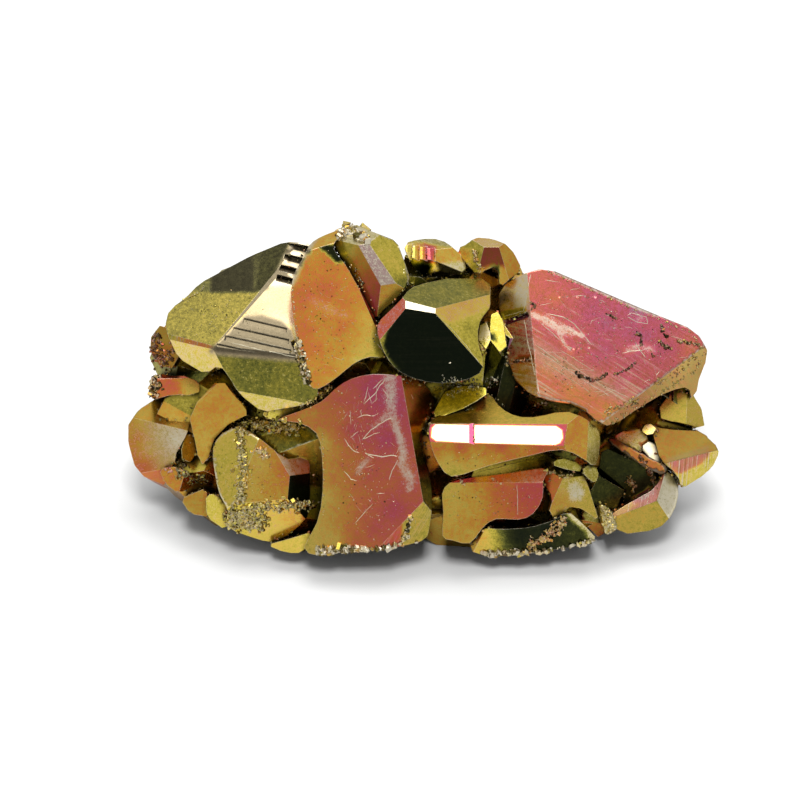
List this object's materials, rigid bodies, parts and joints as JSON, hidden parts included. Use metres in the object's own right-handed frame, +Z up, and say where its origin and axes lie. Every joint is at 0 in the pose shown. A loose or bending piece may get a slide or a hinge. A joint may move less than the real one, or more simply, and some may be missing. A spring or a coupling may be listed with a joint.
{
  "type": "chalcopyrite on pyrite mineral specimen",
  "caption": "Hand-sized cluster of intergrown pyrite crystals with flat lustrous faces under a thin iridescent chalcopyrite tarnish, resting on its broken base",
  "frame": {"origin": "on the resting plane, under the middle of the cluster's box", "axes": "+Z up from the resting plane, +X along the cluster's length to the right of its showing side, the showing side faces -Y"},
  "size_m": [0.0586, 0.0328, 0.0312],
  "materials": {
    "crystal": "lustrous metallic crystal faces under a thin iridescent tarnish from olive and gold to orange, pink and purple, grey where worn"
  },
  "bodies": {
    "root": {"crystal_cluster": "crystal"}
  },
  "joints": []
}
